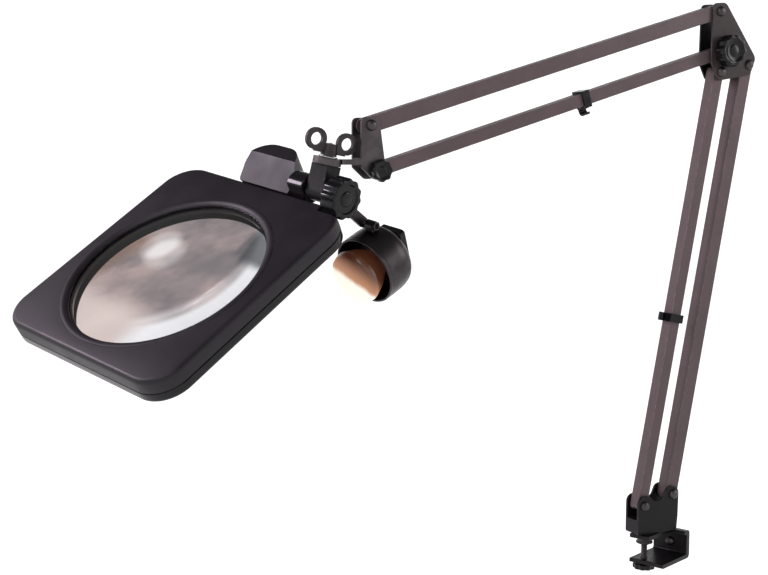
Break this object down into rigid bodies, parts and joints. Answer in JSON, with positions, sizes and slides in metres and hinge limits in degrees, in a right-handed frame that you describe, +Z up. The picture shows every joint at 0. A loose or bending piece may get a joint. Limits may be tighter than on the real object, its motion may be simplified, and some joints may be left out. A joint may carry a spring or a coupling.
{
  "type": "magnifying lamp",
  "caption": "Clamp-on bench magnifier with a balanced parallel-tube arm, a framed round lens that swivels and tilts, and a small reflector lamp beneath it.",
  "frame": {"origin": "middle of the upper jaw's underside, on the arm's swivel axis, where the clamp rests on a table top", "axes": "+Z up along the swivel axis; the arm lies in the XZ plane and reaches towards -X, over the table"},
  "size_m": [0.5186, 0.1701, 0.4063],
  "materials": {
    "painted_steel": "dark grey satin paint",
    "tube_steel": "brown-grey metallic paint",
    "steel": "grey plated steel",
    "dark_steel": "dark plated steel",
    "black_plastic": "glossy black moulded plastic",
    "satin_plastic": "satin dark purple-grey moulded plastic",
    "clear_glass": "clear polished glass",
    "bulb_glass": "frosted reflector bulb glass",
    "brass": "dull brass"
  },
  "bodies": {
    "clamp": {"clamp_frame": "painted_steel", "web_rivet": "steel", "swivel_post": "steel"},
    "foot": {"pressure_foot": "dark_steel"},
    "screw": {"clamp_screw": "steel", "clamp_thumb_knob": "black_plastic"},
    "base": {"base_fork": "painted_steel", "base_front_rivet": "steel", "base_rear_rivet": "steel"},
    "lower_front": {"lower_front_tube": "tube_steel", "lower_cable_clip": "black_plastic"},
    "lower_rear": {"lower_rear_tube": "tube_steel", "lower_spring": "steel", "lower_spring_wire": "steel"},
    "elbow": {"elbow_plate_near": "painted_steel", "elbow_plate_far": "painted_steel", "elbow_spacer": "dark_steel", "elbow_top_rivet": "steel", "elbow_front_rivet": "steel", "elbow_rear_rivet": "steel", "elbow_friction_bolt": "steel"},
    "elbow_grip": {"elbow_knob": "black_plastic"},
    "upper_top": {"upper_top_tube": "tube_steel", "upper_spring": "steel", "upper_spring_wire": "steel"},
    "upper_bottom": {"upper_bottom_tube": "tube_steel", "upper_cable_clip": "black_plastic"},
    "head": {"head_bracket": "steel", "head_top_rivet": "steel", "head_bottom_bolt": "steel"},
    "head_grip": {"head_pivot_knob": "black_plastic"},
    "wing": {"wing_nut": "dark_steel"},
    "knuckle": {"knuckle_block": "steel", "friction_washer": "dark_steel", "lamp_arm": "steel", "stem_washer": "steel"},
    "tilt_grip": {"tilt_knob": "black_plastic"},
    "magnifier": {"magnifier_upper_shell": "satin_plastic", "magnifier_lower_shell": "black_plastic", "lens": "clear_glass", "lens_retaining_ring": "black_plastic", "shell_screw_1": "steel", "shell_screw_2": "steel", "shell_screw_3": "steel", "shell_screw_4": "steel", "hinge_housing": "black_plastic", "hinge_barrel": "black_plastic", "tilt_axle": "steel"},
    "lamp": {"lamp_shade": "dark_steel", "lampholder": "brass", "vent_cap": "black_plastic", "reflector_bulb": "bulb_glass", "lamp_tilt_nut": "dark_steel", "lamp_tilt_pin": "steel"},
    "switch": {"push_switch": "black_plastic"}
  },
  "joints": [
    {"name": "base_swivel", "type": "hinge", "parent": "clamp", "child": "base", "pos_m": [0, 0, 0], "axis": [0, 0, 1], "continuous": true},
    {"name": "lower_arm_tilt", "type": "hinge", "parent": "base", "child": "lower_front", "pos_m": [-0.012, 0, 0.024], "axis": [0, 1, 0], "range_deg": [-36, 23]},
    {"name": "lower_rear_follow", "type": "hinge", "parent": "base", "child": "lower_rear", "pos_m": [0.014, 0, 0.03], "axis": [0, 1, 0], "range_deg": [-37, 24]},
    {"name": "elbow_hold", "type": "hinge", "parent": "lower_front", "child": "elbow", "pos_m": [0.05011, 0, 0.33485], "axis": [0, 1, 0], "range_deg": [-24, 37]},
    {"name": "upper_arm_tilt", "type": "hinge", "parent": "elbow", "child": "upper_top", "pos_m": [0.04821, 0, 0.37745], "axis": [0, 1, 0], "range_deg": [-18, 45]},
    {"name": "upper_bottom_follow", "type": "hinge", "parent": "elbow", "child": "upper_bottom", "pos_m": [0.05371, 0, 0.34945], "axis": [0, 1, 0], "range_deg": [-19, 46]},
    {"name": "head_hold", "type": "hinge", "parent": "upper_top", "child": "head", "pos_m": [-0.23353, 0, 0.29346], "axis": [0, 1, 0], "range_deg": [-46, 19]},
    {"name": "elbow_knob_turn", "type": "hinge", "parent": "elbow", "child": "elbow_grip", "pos_m": [0.05371, 0, 0.34945], "axis": [0, 1, 0], "range_deg": [-180, 180]},
    {"name": "head_knob_turn", "type": "hinge", "parent": "head", "child": "head_grip", "pos_m": [-0.22803, 0, 0.26546], "axis": [0, 1, 0], "range_deg": [-180, 180]},
    {"name": "head_swivel", "type": "hinge", "parent": "head", "child": "knuckle", "pos_m": [-0.26073, 0, 0.27146], "axis": [0.1736, -0.132, 0.9759], "range_deg": [-45, 25]},
    {"name": "wing_nut_turn", "type": "hinge", "parent": "knuckle", "child": "wing", "pos_m": [-0.26073, 0, 0.27146], "axis": [0.1736, -0.132, 0.9759], "range_deg": [-180, 180]},
    {"name": "tilt_knob_turn", "type": "hinge", "parent": "knuckle", "child": "tilt_grip", "pos_m": [-0.26412, 0.00257, 0.25243], "axis": [-0.3352, 0.9239, 0.1846], "range_deg": [-180, 180]},
    {"name": "magnifier_tilt", "type": "hinge", "parent": "knuckle", "child": "magnifier", "pos_m": [-0.26412, 0.00257, 0.25243], "axis": [-0.3352, 0.9239, 0.1846], "range_deg": [-15, 65]},
    {"name": "lamp_tilt", "type": "hinge", "parent": "knuckle", "child": "lamp", "pos_m": [-0.22986, 0.00077, 0.23154], "axis": [-0.3352, 0.9239, 0.1846], "range_deg": [-35, 15]},
    {"name": "lamp_switch_push", "type": "slide", "parent": "lamp", "child": "switch", "axis": [-0.8648, -0.224, -0.4494], "range_m": [0, 0.0012], "stiffness_N_per_m": 300, "springref_m": -0.001},
    {"name": "clamp_close", "type": "slide", "parent": "clamp", "child": "foot", "axis": [0, 0, 1], "range_m": [-0.0098, 0.0006]},
    {"name": "clamp_screw_turn", "type": "hinge", "parent": "foot", "child": "screw", "pos_m": [-0.00893, -0.00325, 0], "axis": [0, 0, 1], "range_deg": [-3529, 217]}
  ],
  "couplings": [
    {"joint": "lower_rear_follow", "follows": "lower_arm_tilt", "ratio": 1},
    {"joint": "elbow_hold", "follows": "lower_arm_tilt", "ratio": -1},
    {"joint": "upper_bottom_follow", "follows": "upper_arm_tilt", "ratio": 1},
    {"joint": "head_hold", "follows": "upper_arm_tilt", "ratio": -1},
    {"joint": "clamp_screw_turn", "follows": "clamp_close", "rad_per_m": 6283.2}
  ]
}
